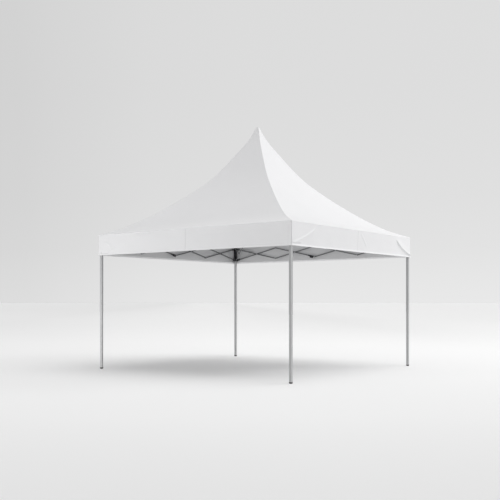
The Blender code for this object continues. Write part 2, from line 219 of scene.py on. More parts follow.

# Levels of the backdrop by height and across: painted light, darker upwards and towards the left
BACKDROP_HEIGHT = ((0.0, 0.815), (0.032, 0.795), (0.065, 0.768), (0.13, 0.745), (0.26, 0.730), (1.0, 0.725))
BACKDROP_ACROSS = ((0.18, 0.885), (0.22, 0.89), (0.27, 0.915), (0.41, 0.965), (0.57, 0.985), (1.0, 1.0))

# How far an arm reaches beyond its pins, how far its layer lies from the truss's middle, and how thick
# the plug in its end is
ARM_END = 0.014
LAYER = 0.0085
PLUG = 0.003

# Clevises of a leg's corner: distance of the pin from the leg's axis, and direction
CLEVISES = ((0.085, 0.0), (0.068, pi / 4), (0.085, pi / 2))

# A clevis: half its gap, thickness of a cheek, half a cheek's height, and radius of its nose
CLEVIS_GAP, CHEEK, CHEEK_HALF, NOSE = 0.0075, 0.003, 0.018, 0.0125

# The spring on the mast: length at rest, travel, turns and thickness of the wire
SPRING, TRAVEL, TURNS, WIRE = 0.17, 0.12, 10, 0.004


def length_property(name, description, default):
    return FloatProperty(name=name, description=description, default=default, unit="LENGTH")


def number_property(name, description, default):
    return FloatProperty(name=name, description=description, default=default)


def colour_property(name, description, default):
    return FloatVectorProperty(name=name, description=description, default=default, subtype="COLOR")


class TentSizes(bpy.types.PropertyGroup):
    """Sizes of the cloth and the fittings."""

    leg_width: length_property("Leg width", "Outside of the outer leg", 0.044)
    inner_leg_width: length_property("Inner leg width", "Outside of the inner leg", 0.040)
    leg_wall: length_property("Leg wall", "Wall of the leg tubes", 0.0015)
    arm_depth: length_property("Arm depth", "Tall side of a truss arm", 0.022)
    arm_thickness: length_property("Arm thickness", "Thin side of a truss arm", 0.014)
    arm_wall: length_property("Arm wall", "Wall of a truss arm", 0.0012)
    tube_corner: length_property("Tube corner", "Radius of an arm's long edges", 0.0025)
    bracket: length_property("Bracket", "Outside of the socket on the leg's top", 0.052)
    slider: length_property("Slider", "Outside of the ring that slides on the leg", 0.064)
    # The sleeve is a black piece that stands in for shade on the leg between bracket and slider: painted
    # shade
    sleeve: length_property("Sleeve", "Outside of the stop sleeve above the slider", 0.047)
    foot: length_property("Foot", "Outside of the cap under the leg", 0.044)
    mast: length_property("Mast", "Outside radius of the mast", 0.019)
    cloth: length_property("Cloth", "Thickness of the cloth", 0.0011)
    hem: length_property("Hem", "Height of the doubled band at the bottom", 0.026)
    hip_radius: length_property("Hip radius", "Rounding of the cloth over a hip", 0.012)
    eave_radius: length_property("Eave radius", "Rounding of the cloth over the eave", 0.016)
    weave: length_property("Weave", "Distance from thread to thread", 0.0012)
    stitch: length_property("Stitch", "Distance from stitch to stitch", 0.005)


class TentFinish(bpy.types.PropertyGroup):
    """Colours of the cloth, the tubes and the fittings."""

    cloth: colour_property("Cloth", "Woven cloth", (0.86, 0.86, 0.87))
    # The thread colour also paints the shade along the seams
    thread: colour_property("Thread", "Stitching and seam shade", (0.70, 0.70, 0.71))
    leg: colour_property("Leg", "Painted leg tubes", (0.50, 0.505, 0.51))
    arm: colour_property("Arm", "Truss arms", (0.17, 0.175, 0.18))
    bolt: colour_property("Bolt", "Plated bolts", (0.55, 0.55, 0.56))
    plastic: colour_property("Plastic", "Moulded fittings", (0.022, 0.022, 0.025))
    nylon: colour_property("Nylon", "Pale foot collars", (0.62, 0.62, 0.61))
    rubber: colour_property("Rubber", "Foot pads", (0.012, 0.012, 0.013))


class TentStage(bpy.types.PropertyGroup):
    """The camera's place, and the levels of the lamps."""

    lens: FloatProperty(name="Lens", description="Focal length", default=55.88, subtype="DISTANCE_CAMERA")
    yaw: FloatProperty(
        name="Yaw", description="Where the camera looks, from the back to the right",
        default=radians(50.951), subtype="ANGLE",
    )
    depth: length_property("Depth", "Tent's middle in front of the camera", 14.019)
    offset: length_property("Offset", "Tent's middle to the right of the camera", 0.953)
    height: length_property("Height", "Lens above the floor", 1.2016)
    shift: FloatVectorProperty(
        name="Shift", description="Lens shift across and up", size=2, default=(0.09, 0.10126)
    )
    world: number_property("World", "Level of the light all round", 0.525)
    key: number_property("Key", "Power of the large lamp on the right", 440.0)
    fill: number_property("Fill", "Power of the low lamp on the left", 85.0)
    top: number_property("Top", "Strength of the lamp from above", 1.06)


def sizes():
    return bpy.context.scene.tent_sizes


def finish():
    return bpy.context.scene.tent_finish


# Materials


def new_material(name):
    """A material with an empty Principled shader, and helpers that add and link nodes."""
    material = bpy.data.materials.new(name)
    material.use_nodes = True
    nodes = material.node_tree.nodes
    links = material.node_tree.links
    return material, nodes["Principled BSDF"], node_adder(nodes, links), links.new


def node_adder(nodes, links):
    """A helper that adds a node, sets its inputs to numbers or links them to sockets, and its settings."""

    def add(kind, inputs=(), **settings):
        node = nodes.new(kind)
        for key, value in settings.items():
            setattr(node, key, value)
        for key, value in dict(inputs).items():
            if isinstance(value, bpy.types.NodeSocket):
                links.new(value, node.inputs[key])
            else:
                node.inputs[key].default_value = value
        return node

    return add


def mix(add, factor, low, high, blend_type="MIX"):
    """Two colours or colour sockets mixed by a factor."""
    inputs = {0: factor}
    for index, value in ((6, low), (7, high)):
        inputs[index] = value if isinstance(value, bpy.types.NodeSocket) else (*value, 1.0)
    return add("ShaderNodeMix", inputs, data_type="RGBA", blend_type=blend_type).outputs[2]


def maths(add, operation, first, second=0.0, third=0.0, clamp=False):
    inputs = {0: first, 1: second, 2: third}
    return add("ShaderNodeMath", inputs, operation=operation, use_clamp=clamp).outputs[0]


def plus(add, first, second):
    return maths(add, "ADD", first, second)


def times(add, first, second):
    return maths(add, "MULTIPLY", first, second)


def beside(add, value, centre):
    """Distance of a value from a centre, on either side."""
    return maths(add, "ABSOLUTE", maths(add, "SUBTRACT", value, centre))


def noise(add, place, scale, detail, roughness=0.5):
    inputs = {"Vector": place, "Scale": scale, "Detail": detail, "Roughness": roughness}
    return add("ShaderNodeTexNoise", inputs).outputs[0]


def object_place(add):
    return add("ShaderNodeTexCoord").outputs["Object"]


def apply_relief(add, link, shader, height, distance, strength):
    bump = add("ShaderNodeBump", {"Height": height, "Distance": distance, "Strength": strength})
    link(bump.outputs[0], shader.inputs["Normal"])


def scaled(colour, level):
    return tuple(min(1.0, channel * level) for channel in colour)


def cloth_material():
    """White coated polyester: a fine weave, soft mottling, stitched seams with painted shade along them, a
    painted highlight along the doubled hem, and painted shade on the inner side.
    """
    done = bpy.data.materials.get("tent_cloth")
    if done:
        return done
    material, shader, add, link = new_material("tent_cloth")
    white, size = finish().cloth, sizes()
    place = add("ShaderNodeUVMap", uv_map="cloth").outputs[0]
    across, along, _ = add("ShaderNodeSeparateXYZ", {0: place}).outputs
    edges = add("ShaderNodeUVMap", uv_map="edges").outputs[0]
    from_seam, above_hem, _ = add("ShaderNodeSeparateXYZ", {0: edges}).outputs
    from_seam = maths(add, "ABSOLUTE", from_seam)

    def waves(value, spacing):
        return maths(add, "SINE", times(add, value, 2 * pi / spacing))

    # Painted shade along each seam, mixed towards the thread colour together with the real stitches
    seam = maths(add, "LESS_THAN", from_seam, SEAM_SHADE)
    hem_row = beside(add, above_hem, size.hem - HEM_ROW)
    from_row = maths(add, "MINIMUM", beside(add, from_seam, SEAM_ROW), hem_row)
    dashes = maths(add, "MAXIMUM", waves(along, size.stitch), waves(across, size.stitch))
    dashes = maths(add, "GREATER_THAN", dashes, -0.3)
    stitch = times(add, maths(add, "LESS_THAN", from_row, THREAD), dashes)
    shade = plus(add, times(add, seam, 0.45), times(add, stitch, 0.5))
    solid = object_place(add)
    mottle = noise(add, solid, scale=1.3, detail=4.0)
    base = mix(add, mottle, scaled(white, 0.975), scaled(white, 1.02))
    base = mix(add, shade, base, finish().thread)
    # Painted highlight: the doubled hem band is painted brighter on both sides, and kept out of the inner
    # side's painted shade
    band = maths(add, "LESS_THAN", above_hem, size.hem)
    base = mix(add, times(add, band, 0.6), base, scaled(white, 1.09))
    # Painted shade: the inner side of the cloth, under the roof, is painted darker
    inner_shade = add("ShaderNodeAttribute", attribute_name="inside").outputs["Fac"]
    inner_shade = times(add, inner_shade, maths(add, "SUBTRACT", 1.0, band))
    link(mix(add, inner_shade, base, scaled(white, 0.78)), shader.inputs["Base Color"])
    streak = noise(add, place, scale=9.0, detail=5.0)
    link(maths(add, "MULTIPLY_ADD", streak, 0.12, 0.52), shader.inputs["Roughness"])
    weave = times(add, waves(across, size.weave), waves(along, size.weave))
    relief = plus(add, times(add, weave, 0.00006), times(add, stitch, 0.0004))
    rumples = noise(add, solid, scale=4.0, detail=3.0, roughness=0.45)
    relief = plus(add, relief, times(add, rumples, 0.004))
    apply_relief(add, link, shader, relief, distance=1.0, strength=0.6)
    shader.inputs["Sheen Weight"].default_value = 0.08
    shader.inputs["Sheen Roughness"].default_value = 0.5
    shader.inputs["Specular IOR Level"].default_value = 0.35
    return material


def metal_material(name, colour, roughness, metallic, stretch, edge=0.0):
    """Drawn or painted metal: fine lines along the tube, an uneven gloss, and a painted highlight along the
    rounded edges.
    """
    done = bpy.data.materials.get(name)
    if done:
        return done
    material, shader, add, link = new_material(name)
    place = object_place(add)
    mapping = add("ShaderNodeMapping", {0: place, "Scale": stretch})
    lines = noise(add, mapping.outputs[0], scale=1.0, detail=3.0)
    patches = noise(add, place, scale=14.0, detail=4.0)
    blend = plus(add, times(add, lines, 0.5), times(add, patches, 0.5))
    base = mix(add, blend, scaled(colour, 0.90), scaled(colour, 1.10))
    # Painted highlight: vertices on the rounded long edges are painted brighter, by the edge level
    if edge:
        edge_highlight = add("ShaderNodeAttribute", attribute_name="edge").outputs["Fac"]
        edge_highlight = times(add, edge_highlight, plus(add, blend, 0.35))
        base = mix(add, edge_highlight, base, scaled(colour, edge))
    link(base, shader.inputs["Base Color"])
    link(maths(add, "MULTIPLY_ADD", blend, 0.20, roughness - 0.10), shader.inputs["Roughness"])
    apply_relief(add, link, shader, lines, distance=0.0001, strength=0.3)
    shader.inputs["Metallic"].default_value = metallic
    return material


def leg_material():
    return metal_material(
        "leg_paint", finish().leg, roughness=0.40, metallic=0.20, stretch=(260.0, 260.0, 3.0), edge=1.6
    )


def arm_material():
    return metal_material(
        "arm_aluminium", finish().arm, roughness=0.42, metallic=0.4, stretch=(60.0, 60.0, 60.0), edge=1.5
    )


def bolt_material():
    return metal_material(
        "bolt_steel", finish().bolt, roughness=0.32, metallic=1.0, stretch=(500.0, 500.0, 500.0)
    )


def moulded_material(name, colour, roughness, grain, wear=0.6):
    """Plastic or rubber: a fine grain, and wear that greys it in patches."""
    done = bpy.data.materials.get(name)
    if done:
        return done
    material, shader, add, link = new_material(name)
    place = object_place(add)
    worn = noise(add, place, scale=30.0, detail=5.0, roughness=0.6)
    base = mix(add, worn, scaled(colour, 1 - wear / 2), scaled(colour, 1 + wear))
    link(base, shader.inputs["Base Color"])
    link(maths(add, "MULTIPLY_ADD", worn, 0.25, roughness - 0.12), shader.inputs["Roughness"])
    fine = noise(add, place, scale=grain, detail=2.0)
    apply_relief(add, link, shader, fine, distance=0.0002, strength=0.4)
    return material


def plastic_material():
    return moulded_material("moulded_plastic", finish().plastic, roughness=0.50, grain=900.0)


def nylon_material():
    return moulded_material("pale_nylon", finish().nylon, roughness=0.45, grain=700.0, wear=0.15)


def rubber_material():
    return moulded_material("pad_rubber", finish().rubber, roughness=0.85, grain=500.0)


def webbing_material():
    """Black woven webbing: ribs across the strap and a softer sheen than plastic."""
    done = bpy.data.materials.get("webbing")
    if done:
        return done
    material, shader, add, link = new_material("webbing")
    place = object_place(add)
    inputs = {0: place, "Scale": 260.0, "Distortion": 0.4, "Detail": 1.0}
    ribs = add("ShaderNodeTexWave", inputs, bands_direction="DIAGONAL").outputs["Fac"]
    weave = times(add, ribs, noise(add, place, scale=700.0, detail=2.0))
    black = finish().plastic
    link(mix(add, weave, scaled(black, 0.6), scaled(black, 1.8)), shader.inputs["Base Color"])
    apply_relief(add, link, shader, weave, distance=0.0006, strength=0.6)
    shader.inputs["Roughness"].default_value = 0.8
    shader.inputs["Sheen Weight"].default_value = 0.15
    return material


# Shapes


def add_object(name, data):
    obj = bpy.data.objects.new(name, data)
    bpy.context.scene.collection.objects.link(obj)
    return obj


def to_mesh(name, bm):
    mesh = bpy.data.meshes.new(name)
    bm.to_mesh(mesh)
    bm.free()
    return mesh


def add_piece(name, mesh, material, body):
    mesh.materials.append(material)
    obj = add_object(name, mesh)
    if body:
        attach(obj, body)
    return obj


def new_piece(name, bm, material, body):
    """Turns a bmesh into a piece that rides on a body of the frame."""
    mesh = to_mesh(name, bm)
    mesh.shade_smooth()
    mesh.set_sharp_from_angle(angle=radians(35))
    return add_piece(name, mesh, material, body)


def moved(bm, matrix):
    bmesh.ops.transform(bm, matrix=matrix, verts=bm.verts)
    return bm


def join(bm, part):
    """Adds the part's geometry to bm, and frees the part."""
    mesh = to_mesh("joined", part)
    bm.from_mesh(mesh)
    bpy.data.meshes.remove(mesh)


def bevel(bm, geom, radius, segments, affect="EDGES"):
    bmesh.ops.bevel(
        bm, geom=geom, offset=radius, offset_type="OFFSET", affect=affect,
        segments=segments, profile=0.5, material=-1,
    )


def hollow_bar(width, depth, low, high, corner, wall):
    """A rectangular tube along Z with rounded long edges and open ends."""
    bm = bmesh.new()
    bmesh.ops.create_grid(bm, x_segments=1, y_segments=1, size=0.5)
    bmesh.ops.scale(bm, vec=(width, depth, 1.0), verts=bm.verts)
    bevel(bm, bm.verts[:], corner, segments=4, affect="VERTICES")
    ring = bmesh.ops.inset_region(
        bm, faces=bm.faces[:], thickness=wall, use_boundary=True, use_even_offset=True
    )["faces"]
    bmesh.ops.delete(bm, geom=[f for f in bm.faces if f not in set(ring)], context="FACES_ONLY")
    # Mask of the painted highlight along the rounded long edges
    edge_highlight = bm.verts.layers.float.new("edge")
    for vert in bm.verts:
        x, y = abs(vert.co.x) - width / 2, abs(vert.co.y) - depth / 2
        vert[edge_highlight] = float(x < -0.0001 and y < -0.0001 and min(x, y) > -corner)
    made = bmesh.ops.extrude_face_region(bm, geom=bm.faces[:])["geom"]
    top = [item for item in made if isinstance(item, bmesh.types.BMVert)]
    bmesh.ops.translate(bm, vec=(0, 0, high - low), verts=top)
    bmesh.ops.translate(bm, vec=(0, 0, low), verts=bm.verts)
    bmesh.ops.recalc_face_normals(bm, faces=bm.faces)
    return bm


def block(low, high):
    """A block between two corners."""
    low, high = Vector(low), Vector(high)
    bm = bmesh.new()
    bmesh.ops.create_cube(bm, size=1.0)
    bmesh.ops.scale(bm, vec=high - low, verts=bm.verts)
    bmesh.ops.translate(bm, vec=(low + high) / 2, verts=bm.verts)
    return bm


def rounded_block(low, high, radius, segments=3):
    bm = block(low, high)
    bevel(bm, bm.edges[:], radius, segments)
    return bm


def turned(profile, steps=20, ring=False):
    """A profile of radius and height turned about Z. A ring's closes on itself, others end on the axis."""
    bm = bmesh.new()
    points = [bm.verts.new((radius, 0.0, z)) for radius, z in profile]
    following = points[1:] + points[:1] if ring else points[1:]
    edges = [bm.edges.new(pair) for pair in zip(points, following)]
    bmesh.ops.spin(
        bm, geom=points + edges, cent=(0, 0, 0), axis=(0, 0, 1), dvec=(0, 0, 0),
        angle=2 * pi, steps=steps, use_merge=True, use_duplicate=False,
    )
    bmesh.ops.remove_doubles(bm, verts=bm.verts, dist=0.000001)
    bmesh.ops.recalc_face_normals(bm, faces=bm.faces)
    return bm


def pointing_along_x(x, y, z):
    """Where a shape that was turned about Z stands with its head towards +X."""
    return Matrix.Translation((x, y, z)) @ Matrix.Rotation(pi / 2, 4, "Y")


# Cloth


def hip_height(share):
    """The height of the hip line, on a smooth curve through its points."""
    xs = np.array([point[0] for point in HIP_LINE])
    zs = np.array([point[1] for point in HIP_LINE])
    slopes = np.diff(zs) / np.diff(xs)
    inner = 2 * slopes[:-1] * slopes[1:] / (slopes[:-1] + slopes[1:])
    tangents = np.concatenate((slopes[:1], inner, slopes[-1:]))
    index = np.clip(np.searchsorted(xs, share) - 1, 0, len(slopes) - 1)
    width = xs[index + 1] - xs[index]
    u = (share - xs[index]) / width
    start = (2 * u**3 - 3 * u**2 + 1) * zs[index] + (u**3 - 2 * u**2 + u) * width * tangents[index]
    end = (3 * u**2 - 2 * u**3) * zs[index + 1] + (u**3 - u**2) * width * tangents[index + 1]
    return start + end


def run_along(x, y):
    """Distance along a line from its first point, at each of its points."""
    return np.concatenate(([0.0], np.cumsum(np.hypot(np.diff(x), np.diff(y)))))


def cloth_rows():
    """Rows of the cloth from the peak to the hem: half width, height and share down the valance."""
    first_share, first_z = HIP_LINE[0]
    tip = np.linspace(0.0, 1.0, TIP_ROWS, endpoint=False)
    half = list(tip * first_share * HALF)
    height = list(PEAK - (PEAK - first_z) * tip**1.7)
    cap = np.linspace(first_share, CAP_SHARE, CAP_ROWS, endpoint=False)
    half += list(cap * HALF)
    height += list(hip_height(cap))
    slope = (HIP_LINE[-2][1] - EAVE) / ((1 - HIP_LINE[-2][0]) * HALF)
    lean = atan2(slope, 1.0)
    radius = sizes().eave_radius
    turn = radius * tan((pi / 2 - lean) / 2)
    last = 1 - turn * cos(lean) / HALF
    fine = np.linspace(CAP_SHARE, last, 2000)
    run = run_along(fine * HALF, hip_height(fine))
    shares = np.interp(np.linspace(0, run[-1], ROOF_ROWS), run, fine)
    half += list(shares * HALF)
    height += list(hip_height(shares))
    for step in range(1, EAVE_ROWS):
        angle = (pi / 2 - lean) * (1 - step / EAVE_ROWS)
        half.append(HALF - radius + radius * cos(angle))
        height.append(EAVE - turn + radius * sin(angle))
    # Rows that stand close together where the doubled hem begins
    band = HEM + sizes().hem
    drops = list(np.linspace(EAVE - turn, band + 0.006, VALANCE_ROWS))
    drops += [band + 0.001, band - 0.001, band - 0.006, (band + HEM) / 2, HEM + 0.004, HEM]
    half += [HALF] * len(drops)
    height += drops
    half, height = np.array(half), np.array(height)
    down = np.clip((EAVE - height) / DROP, 0.0, 1.0)
    down[half < HALF] = 0.0
    return half, height, down


def smooth(values, low, high):
    share = np.clip((values - low) / (high - low), 0.0, 1.0)
    return share * share * (3 - 2 * share)


def broad_folds(side, along, down):
    """How far the valance stands out in its broad folds."""
    total = np.zeros(np.broadcast(along, down).shape)
    for name, along_0, down_0, along_1, down_1, width, height in BROAD_FOLDS:
        grown = np.clip((down - down_0) / max(0.01, down_1 - down_0), 0.0, 1.0)
        centre = along_0 + (along_1 - along_0) * grown
        fold = height * grown * np.exp(-(((along - centre) / width) ** 2))
        total += np.where(side == SIDES.index(name), fold, 0.0)
    return total * np.sqrt(np.clip(np.sin(pi * along), 0.0, 1.0))


def from_line(along, down, points, pieces=16):
    """Distance in metres from a bent line, positive on its left, and how far in from its free ends."""
    start, middle, end = (np.array((p[0] * 2 * HALF, p[1] * DROP)) for p in points)
    steps = np.linspace(0.0, 1.0, pieces + 1)[:, None]
    line = (1 - steps) ** 2 * start + 2 * steps * (1 - steps) * middle + steps**2 * end
    x, y = np.broadcast_arrays(along * 2 * HALF, down * DROP)
    held = [min(point[0], 1 - point[0]) < 0.02 for point in (points[0], points[2])]
    near = np.full(x.shape, 1e9)
    signed = np.zeros(x.shape)
    taper = np.zeros(x.shape)
    for index in range(pieces):
        (x0, y0), (x1, y1) = line[index], line[index + 1]
        dx, dy = x1 - x0, y1 - y0
        t = np.clip(((x - x0) * dx + (y - y0) * dy) / (dx * dx + dy * dy), 0.0, 1.0)
        away_x, away_y = x - x0 - t * dx, y - y0 - t * dy
        distance = np.hypot(away_x, away_y)
        closer = distance < near
        near = np.where(closer, distance, near)
        signed = np.where(closer, distance * np.sign(away_x * dy - away_y * dx), signed)
        share = (index + t) / pieces
        ends = np.minimum(4 * share + held[0], 4 * (1 - share) + held[1])
        taper = np.where(closer, np.minimum(1.0, ends), taper)
    return signed, smooth(taper, 0.0, 1.0)


def creases(side, along, down):
    """How far the valance stands out in its creases, ridges and tucks."""
    total = np.zeros(np.broadcast(along, down).shape)
    for name, *points, height, width in CREASES:
        signed, taper = from_line(along, down, points)
        fold = height * taper * np.exp(-((signed / width) ** 2))
        total += np.where(side == SIDES.index(name), fold, 0.0)
    for name, *points, height, steep, broad in TUCKS:
        signed, taper = from_line(along, down, points)
        rise = smooth(signed, -steep / 2, steep / 2)
        fold = height * taper * rise * np.exp(-np.maximum(signed, 0) / broad)
        total += np.where(side == SIDES.index(name), fold, 0.0)
    return total


def raised(distance, seam):
    """How far a seam stands proud at a distance from its middle."""
    inner, outer, height = seam
    return height * (1 - smooth(distance, inner, outer))


def cloth_points(places, rows):
    """The outside of the cloth at places round the tent, one unit for each side, for every row."""
    half, height, down = (row[None, :] for row in rows)
    side = (np.floor(places).astype(int) % len(SIDES))[:, None]
    along = (places - np.floor(places))[:, None]
    share = np.minimum(half / HALF, 1.0)
    from_corner = np.minimum(along, 1 - along) * 2 * half
    radius = np.minimum(sizes().hip_radius, 0.35 * half) + 1e-9
    angle = pi / 4 * (1 + np.minimum(from_corner / radius, 1.0))
    pulled = np.where(from_corner < radius, radius * (1 - np.cos(angle)), from_corner)
    inset = np.where(from_corner < radius, radius * (1 - np.sin(angle)), 0.0)
    across = np.where(along < 0.5, pulled - half, half - pulled)
    out = half * (1 - FACE_BOW * 4 * along * (1 - along) * np.sin(pi * share)) - inset
    hangs = (down > 0).astype(float)
    wave = sum(
        size * np.sin(2 * pi * count * places[:, None] / len(SIDES) + phase + lean * down)
        for size, count, phase, lean in WAVES
    )
    out = out + hangs * broad_folds(side, along, down)
    out = out + hangs * creases(side, along, down) * smooth(from_corner, 0.0, CREASE_GROWTH)
    out = out + hangs * wave * down * np.clip(from_corner / WAVE_GROWTH, 0.0, 1.0)
    out = out + FLARE * smooth(down, 0.92, 1.02)
    from_middle = np.abs(along - 0.5) * 2 * half
    proud = raised(from_corner, HIP_SEAM) + raised(from_middle, MIDDLE_SEAM) * hangs
    band = (DROP - sizes().hem) / DROP
    proud = proud + HEM_PROUD * smooth(down, band - 0.002, band + 0.002)
    ridge_depth, ridge_half, ridge_height = EAVE_RIDGE
    ridge = ridge_height * np.exp(-(((height - EAVE + ridge_depth) / ridge_half) ** 2))
    proud = proud + ridge * (half > 0.97 * HALF)
    steep_out, steep_up = row_normals(rows)
    out = out + proud * steep_out
    z = height + proud * steep_up + np.zeros_like(out)
    turn = side * pi / 2
    x = across * np.cos(turn) + out * np.sin(turn)
    y = across * np.sin(turn) - out * np.cos(turn)
    return np.stack((x, y, z), axis=-1)


def row_normals(rows):
    """Which way the cloth's profile faces at each row: outwards and upwards."""
    half, height, _ = rows
    d_half, d_height = np.gradient(half), np.gradient(height)
    length = np.hypot(d_half, d_height) + 1e-12
    return (-d_height / length)[None, :], (d_half / length)[None, :]


def cloth_surface(places, rows):
    """Outer points, normals and inner points of the cloth."""
    outer = cloth_points(places, rows)
    step = 0.0004
    along = cloth_points(places + step, rows) - cloth_points(places - step, rows)
    down = np.gradient(outer, axis=1)
    normal = np.cross(down, along)
    length = np.linalg.norm(normal, axis=2, keepdims=True)
    normal = np.where(length > 1e-12, normal / np.maximum(length, 1e-12), (0.0, 0.0, 1.0))
    thickness = np.full(rows[0].shape, sizes().cloth)
    thickness[rows[1] < HEM + sizes().hem] *= HEM_LAYERS
    return outer, normal, outer - normal * thickness[None, :, None]


def cloth_mesh(name, places, rows, first, last, centre, weld=False):
    """A thin closed sheet of cloth between two rows, with its area, greatest width and greatest length."""
    outer, normal, inner = (part[:, first:last] for part in cloth_surface(places, rows))
    columns, count = outer.shape[:2]
    mesh = sheet_grid(name, columns, count)
    i, j, inside = cells_of(mesh, count)
    points = np.where(inside[:, None], inner[i, j], outer[i, j])
    mesh.vertices.foreach_set("co", points.astype(np.float32).ravel())
    mesh.update()
    if weld:
        weld_apex(mesh)
    turn_outwards(mesh, normal, count)
    i, j, inside = cells_of(mesh, count)
    # Mask of the inner side, which carries the cloth's painted shade
    mesh.attributes.new("inside", "FLOAT", "POINT").data.foreach_set("value", inside.astype(np.float32))
    corners = np.zeros(len(mesh.loops), np.int32)
    mesh.loops.foreach_get("vertex_index", corners)
    for layer, across, along in cloth_maps(places, [row[first:last] for row in rows], centre):
        values = np.stack((across[i, j], along[j]), axis=1)[corners].astype(np.float32)
        mesh.uv_layers.new(name=layer).data.foreach_set("uv", values.ravel())
    mesh.shade_smooth()
    set_sheet_normals(mesh, normal, count, corners)
    mesh.attributes.remove(mesh.attributes["cell"])
    width = np.linalg.norm(np.diff(outer, axis=0), axis=2)
    length = np.linalg.norm(np.diff(outer, axis=1), axis=2)
    area = float((0.5 * (width[:, 1:] + width[:, :-1]) * 0.5 * (length[1:] + length[:-1])).sum())
    return mesh, area, float(width.sum(axis=0).max()), float(length.sum(axis=1).max())


def sheet_grid(name, columns, count):
    """A flat closed sheet in which every vertex is marked with its column, row and side."""
    bm = bmesh.new()
    bmesh.ops.create_grid(bm, x_segments=columns - 1, y_segments=count - 1, size=0.5)
    bmesh.ops.solidify(bm, geom=bm.faces[:], thickness=0.01)
    cell = bm.verts.layers.int.new("cell")
    for vert in bm.verts:
        i = round((vert.co.x + 0.5) * (columns - 1))
        j = round((vert.co.y + 0.5) * (count - 1))
        vert[cell] = (i * count + j) * 2 + (abs(vert.co.z) > 0.001)
    return to_mesh(name, bm)


def cloth_maps(places, rows, centre):
    """Two maps in metres: along and down the cloth, and from the nearest seam and the hem."""
    half, height, down = rows
    along = (places - np.floor(places))[:, None]
    from_seam = np.minimum(along, 1 - along) * 2 * half
    from_middle = np.where(down > 0, np.abs(along - 0.5) * 2 * half, from_seam)
    across = (places - centre)[:, None] * 2 * half
    return (
        ("cloth", across, run_along(half, height)),
        ("edges", np.minimum(from_seam, from_middle), height - HEM),
    )


def cells_of(mesh, count):
    """Each vertex's column and row in the sheet, and whether it is on the inner side."""
    cells = np.zeros(len(mesh.vertices), np.int32)
    mesh.attributes["cell"].data.foreach_get("value", cells)
    i, j = np.divmod(cells // 2, count)
    return i, j, cells % 2 == 1


def weld_apex(mesh):
    """Closes the sheet where its two edges meet and where its columns run together."""
    bm = bmesh.new()
    bm.from_mesh(mesh)
    cell = bm.verts.layers.int["cell"]
    bmesh.ops.remove_doubles(bm, verts=bm.verts, dist=0.00001)
    bmesh.ops.dissolve_degenerate(bm, dist=0.000001, edges=bm.edges)
    loose = [f for f in bm.faces if len({v[cell] % 2 for v in f.verts}) == 2 and f.calc_area() < 1e-9]
    bmesh.ops.delete(bm, geom=loose, context="FACES")
    bm.to_mesh(mesh)
    bm.free()


def turn_outwards(mesh, normal, count):
    """Turns the whole sheet over where its outer side faces inwards."""
    i, j, inside = cells_of(mesh, count)
    faces = [polygon for polygon in mesh.polygons if not any(inside[vert] for vert in polygon.vertices)]
    total = sum(face.normal.dot(normal[i[face.vertices[0]], j[face.vertices[0]]]) for face in faces[::9])
    if total < 0:
        mesh.flip_normals()
        mesh.update()


def set_sheet_normals(mesh, normal, count, corners):
    """Gives both sides the cloth's own normals, and the rim its faces' normals."""
    i, j, inside = cells_of(mesh, count)
    face_sizes = np.zeros(len(mesh.polygons), np.int32)
    mesh.polygons.foreach_get("loop_total", face_sizes)
    face_of = np.repeat(np.arange(len(face_sizes)), face_sizes)
    flat = np.zeros(len(mesh.polygons) * 3, np.float32)
    mesh.polygons.foreach_get("normal", flat)
    flat = flat.reshape(-1, 3)
    inner_corners = np.bincount(face_of, weights=inside[corners])
    rim = (inner_corners > 0) & (inner_corners < face_sizes)
    side = np.where(inside[corners], -1.0, 1.0)[:, None]
    vectors = np.where(rim[face_of][:, None], flat[face_of], normal[i[corners], j[corners]] * side)
    mesh.normals_split_custom_set(vectors.tolist())


def column_places(index):
    """Where the columns of a gore stand: close together at a hip or at a side's middle seam."""
    step = 1 / GORES_PER_SIDE
    centre = index * step
    beside_seam = [0.0, 0.0015, 0.003, 0.0045, 0.006, 0.0075, 0.009, 0.011, 0.014, 0.02, 0.03, 0.045]
    reach = step / 2 * 2 * HALF
    from_hip = min(index % GORES_PER_SIDE, -index % GORES_PER_SIDE)
    if from_hip == 0:
        spread = beside_seam + list(np.linspace(0.052, reach, 34))
    elif from_hip == GORES_PER_SIDE // 2:
        spread = beside_seam + list(np.linspace(0.06, reach, 14))
    else:
        spread = list(np.linspace(0.0, reach, 40 if from_hip == 1 else 17))
    offsets = np.array(spread) / (2 * HALF)
    offsets[-1] = step / 2
    return centre + np.concatenate((-offsets[:0:-1], offsets)), centre


# Operators


def view_directions(stage):
    """Where the camera looks, and what lies to its right."""
    sine, cosine = sin(stage.yaw), cos(stage.yaw)
    return Vector((sine, cosine, 0.0)), Vector((cosine, -sine, 0.0))


class TENT_OT_camera(bpy.types.Operator):
    """Places the camera as the picture was taken"""

    bl_idname = "tent.camera"
    bl_label = "Camera"

    def execute(self, context):
        stage = context.scene.tent_stage
        data = bpy.data.cameras.new("camera")
        data.lens = stage.lens
        data.sensor_width = 36.0
        data.shift_x, data.shift_y = stage.shift
        data.clip_end = 1000.0
        camera = add_object("camera", data)
        ahead, right = view_directions(stage)
        camera.location = -ahead * stage.depth - right * stage.offset
        camera.location.z = stage.height
        camera.rotation_euler = (pi / 2, 0.0, -stage.yaw)
        context.scene.camera = camera
        return {"FINISHED"}


